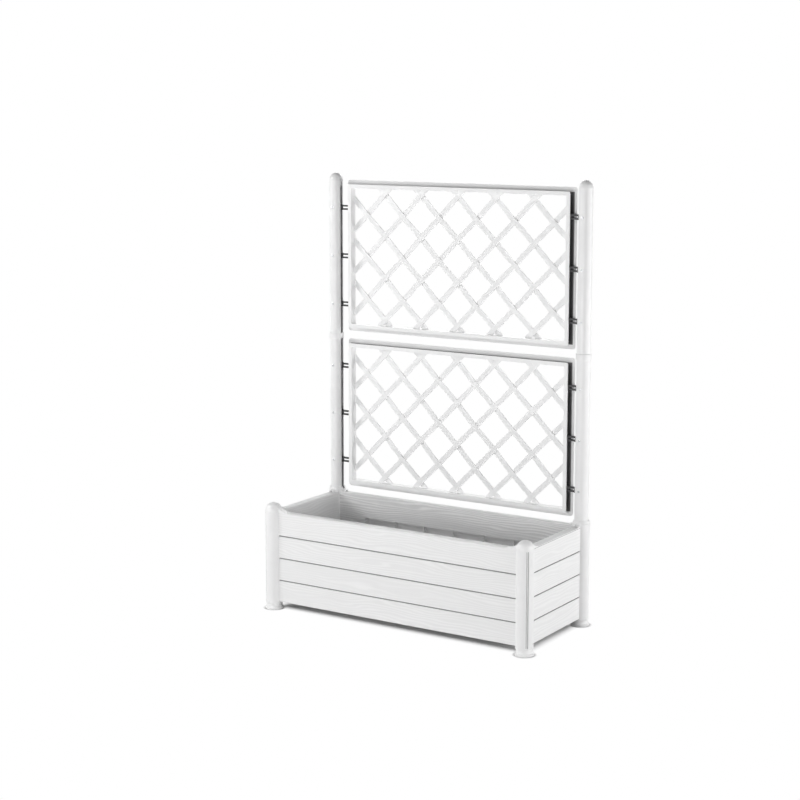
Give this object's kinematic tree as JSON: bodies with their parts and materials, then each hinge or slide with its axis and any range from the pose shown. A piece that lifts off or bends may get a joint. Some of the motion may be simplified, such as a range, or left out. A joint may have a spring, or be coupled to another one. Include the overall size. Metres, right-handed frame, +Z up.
{
  "type": "planter with trellis",
  "caption": "Rectangular plank-sided plastic plant box on short round feet, with round corner posts and a tall lattice trellis held between two columns at its back.",
  "frame": {"origin": "bottom centre of the whole object, on the surface that the feet stand on", "axes": "+Z up, +X to the right seen from the front, +Y from the front of the box to the trellis"},
  "size_m": [1, 0.43, 1.42],
  "materials": {
    "white_plastic": "satin white, faint wood grain",
    "dark_plastic": "matt dark grey",
    "screw_steel": "zinc plated"
  },
  "bodies": {
    "root": {"back_left_collar": "white_plastic", "back_left_foot": "white_plastic", "back_left_post": "white_plastic", "back_panel": "white_plastic", "back_right_collar": "white_plastic", "back_right_foot": "white_plastic", "back_right_post": "white_plastic", "floor_panel": "white_plastic", "front_left_cap": "white_plastic", "front_left_foot": "white_plastic", "front_left_post": "white_plastic", "front_panel": "white_plastic", "front_right_cap": "white_plastic", "front_right_foot": "white_plastic", "front_right_post": "white_plastic", "left_clip_screws": "screw_steel", "left_column_sleeve": "white_plastic", "left_lower_column": "white_plastic", "left_panel": "white_plastic", "left_top_cap": "white_plastic", "left_trellis_clips": "dark_plastic", "left_upper_column": "white_plastic", "lower_trellis": "white_plastic", "right_clip_screws": "screw_steel", "right_column_sleeve": "white_plastic", "right_lower_column": "white_plastic", "right_panel": "white_plastic", "right_top_cap": "white_plastic", "right_trellis_clips": "dark_plastic", "right_upper_column": "white_plastic", "upper_trellis": "white_plastic"}
  },
  "joints": []
}
